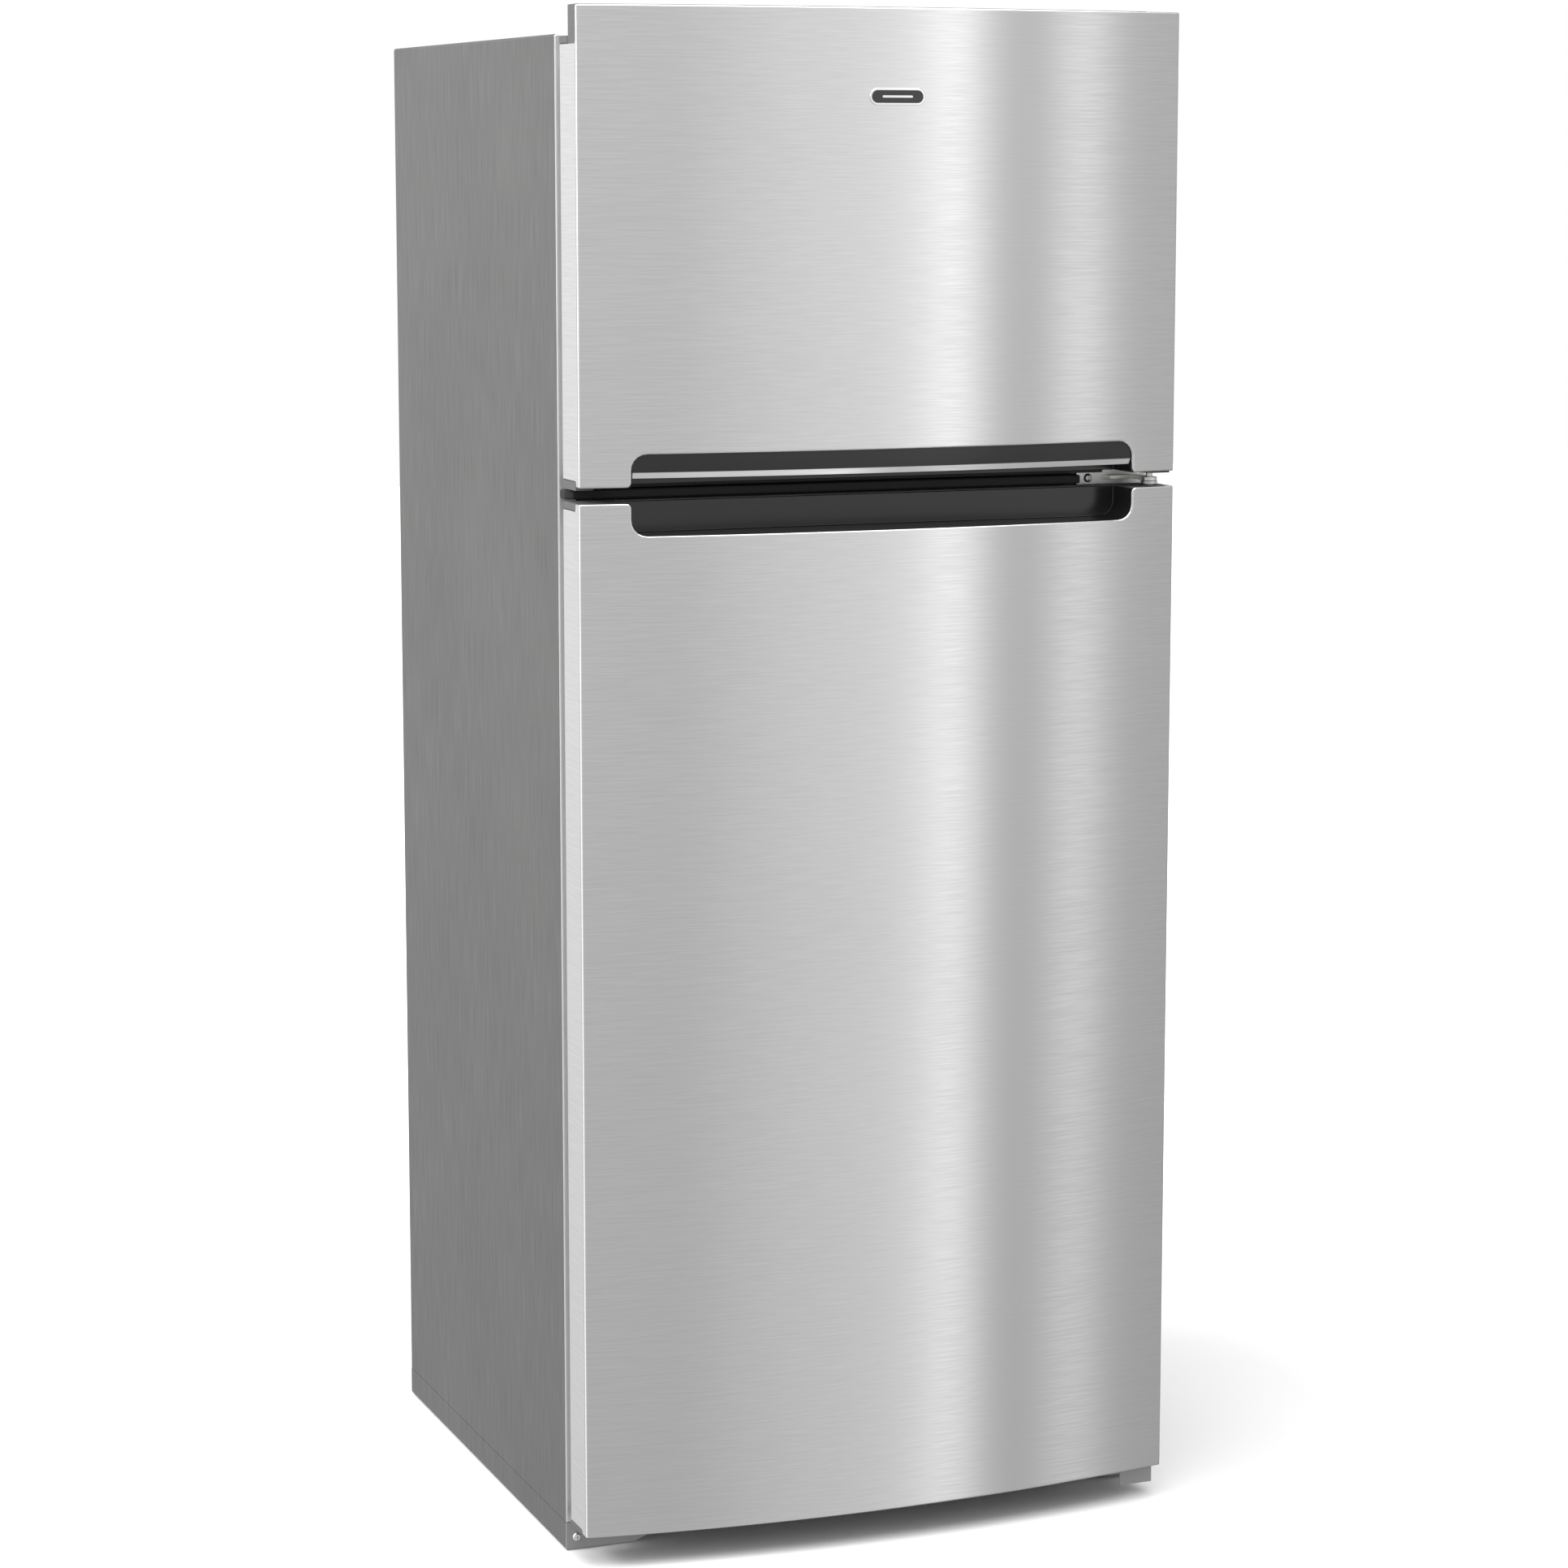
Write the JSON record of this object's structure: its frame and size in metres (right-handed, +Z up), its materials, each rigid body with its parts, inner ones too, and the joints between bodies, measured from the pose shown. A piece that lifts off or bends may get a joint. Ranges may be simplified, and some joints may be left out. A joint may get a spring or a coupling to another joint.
{
  "type": "top freezer refrigerator",
  "caption": "Top freezer refrigerator with bowed brushed-steel doors, gloss black pocket handles, hinged doors, shelves, drawers and door bins.",
  "frame": {"origin": "middle of the footprint, on the floor", "axes": "+X to the right seen from the front, +Y to the back, +Z up"},
  "size_m": [0.7, 0.725, 1.695],
  "materials": {
    "brushed_door": "satin",
    "painted_side": "satin",
    "zinc_sheet": "matte",
    "bright_zinc": "satin",
    "bracket_grey": "satin",
    "black_metal": "satin",
    "black_grain": "matte",
    "gloss_black": "gloss",
    "cap_grey": "matte",
    "liner_white": "satin",
    "trim_white": "satin",
    "clear_plastic": "gloss",
    "shelf_glass": "gloss",
    "lamp_lens": "satin",
    "gasket_grey": "matte",
    "foam": "matte",
    "fin_aluminium": "satin",
    "copper": "satin",
    "black_rubber": "matte",
    "badge_metal": "polished"
  },
  "bodies": {
    "cabinet": {"cabinet_wrapper": "painted_side", "back_panel": "zinc_sheet", "cabinet_foam": "foam", "machine_base": "zinc_sheet", "base_rails": "painted_side", "toe_grille": "black_grain", "foot_bracket": "bracket_grey", "mullion_rail": "black_metal", "mullion_trim": "black_grain", "freezer_liner": "liner_white", "fridge_liner": "liner_white", "evaporator_cover": "trim_white", "evaporator_coil": "fin_aluminium", "evaporator_fan_motor": "black_metal", "freezer_shelf": "trim_white", "control_housing": "trim_white", "lamp_cover": "lamp_lens", "shelf_frames": "trim_white", "shelf_glass": "shelf_glass", "crisper_frame": "trim_white", "top_hinge": "zinc_sheet", "top_hinge_cover": "cap_grey", "centre_hinge": "bright_zinc", "bottom_hinge": "bracket_grey", "hinge_fasteners": "bright_zinc", "compressor": "black_metal", "condenser_coil": "black_metal", "condenser_fan_motor": "black_metal", "machine_cover": "zinc_sheet", "refrigerant_lines": "copper", "cord_gland": "black_rubber"},
    "freezer_door": {"freezer_door_skin": "brushed_door", "freezer_door_liner": "liner_white", "freezer_door_foam": "foam", "freezer_door_caps": "cap_grey", "freezer_handle": "gloss_black", "freezer_gasket": "gasket_grey", "freezer_door_bins": "clear_plastic", "badge": "badge_metal"},
    "fridge_door": {"fridge_door_skin": "brushed_door", "fridge_door_liner": "liner_white", "fridge_door_foam": "foam", "fridge_door_caps": "cap_grey", "fridge_handle": "gloss_black", "fridge_gasket": "gasket_grey", "fridge_door_bins": "clear_plastic"},
    "dairy_lid": {"dairy_lid": "clear_plastic"},
    "crisper_left": {"crisper_left": "clear_plastic"},
    "crisper_right": {"crisper_right": "clear_plastic"},
    "deli_drawer": {"deli_drawer": "clear_plastic"},
    "light_switch_plunger": {"light_switch_plunger": "trim_white"},
    "fridge_knob": {"fridge_knob": "cap_grey"},
    "freezer_knob": {"freezer_knob": "cap_grey"},
    "humidity_slider_left": {"humidity_slider_left": "cap_grey"},
    "humidity_slider_right": {"humidity_slider_right": "cap_grey"},
    "levelling_leg_left": {"levelling_leg_left": "black_rubber"},
    "levelling_leg_right": {"levelling_leg_right": "black_rubber"},
    "rear_rollers": {"rear_rollers": "black_rubber"},
    "evaporator_fan": {"evaporator_fan": "trim_white"},
    "condenser_fan": {"condenser_fan": "black_grain"}
  },
  "joints": [
    {"name": "freezer_door_hinge", "type": "hinge", "parent": "cabinet", "child": "freezer_door", "pos_m": [0.332, -0.3045, 1.44], "axis": [0, 0, 1], "range_deg": [0, 120]},
    {"name": "fridge_door_hinge", "type": "hinge", "parent": "cabinet", "child": "fridge_door", "pos_m": [0.332, -0.3045, 0.6], "axis": [0, 0, 1], "range_deg": [0, 120]},
    {"name": "dairy_lid_hinge", "type": "hinge", "parent": "fridge_door", "child": "dairy_lid", "pos_m": [-0.123, -0.1905, 1.0284], "axis": [1, 0, 0], "range_deg": [0, 85]},
    {"name": "crisper_left_slide", "type": "slide", "parent": "cabinet", "child": "crisper_left", "axis": [0, -1, 0], "range_m": [0, 0.18]},
    {"name": "crisper_right_slide", "type": "slide", "parent": "cabinet", "child": "crisper_right", "axis": [0, -1, 0], "range_m": [0, 0.18]},
    {"name": "deli_drawer_slide", "type": "slide", "parent": "cabinet", "child": "deli_drawer", "axis": [0, -1, 0], "range_m": [0, 0.18]},
    {"name": "light_switch_slide", "type": "slide", "parent": "cabinet", "child": "light_switch_plunger", "axis": [0, -1, 0], "range_m": [0, 0.008]},
    {"name": "fridge_knob_turn", "type": "hinge", "parent": "cabinet", "child": "fridge_knob", "pos_m": [-0.062, -0.2095, 1.1], "axis": [0, -1, 0], "range_deg": [0, 270]},
    {"name": "freezer_knob_turn", "type": "hinge", "parent": "cabinet", "child": "freezer_knob", "pos_m": [0.062, -0.2095, 1.1], "axis": [0, -1, 0], "range_deg": [0, 270]},
    {"name": "humidity_left_slide", "type": "slide", "parent": "cabinet", "child": "humidity_slider_left", "axis": [1, 0, 0], "range_m": [0, 0.04]},
    {"name": "humidity_right_slide", "type": "slide", "parent": "cabinet", "child": "humidity_slider_right", "axis": [1, 0, 0], "range_m": [0, 0.04]},
    {"name": "left_leg_turn", "type": "hinge", "parent": "cabinet", "child": "levelling_leg_left", "pos_m": [-0.315, -0.2335, 0.01], "axis": [0, 0, 1], "continuous": true},
    {"name": "right_leg_turn", "type": "hinge", "parent": "cabinet", "child": "levelling_leg_right", "pos_m": [0.315, -0.2335, 0.01], "axis": [0, 0, 1], "continuous": true},
    {"name": "rear_roller_spin", "type": "hinge", "parent": "cabinet", "child": "rear_rollers", "pos_m": [0, 0.3225, 0.012], "axis": [1, 0, 0], "continuous": true},
    {"name": "evaporator_fan_spin", "type": "hinge", "parent": "cabinet", "child": "evaporator_fan", "pos_m": [0, 0.2525, 1.51], "axis": [0, 1, 0], "continuous": true},
    {"name": "condenser_fan_spin", "type": "hinge", "parent": "cabinet", "child": "condenser_fan", "pos_m": [0.038, 0.2565, 0.14], "axis": [1, 0, 0], "continuous": true}
  ],
  "couplings": [
    {"joint": "crisper_left_slide", "follows": "fridge_door_hinge", "m_per_rad": 0.085},
    {"joint": "crisper_right_slide", "follows": "fridge_door_hinge", "m_per_rad": 0.085},
    {"joint": "deli_drawer_slide", "follows": "fridge_door_hinge", "m_per_rad": 0.085},
    {"joint": "light_switch_slide", "follows": "fridge_door_hinge", "m_per_rad": 0.0038}
  ]
}
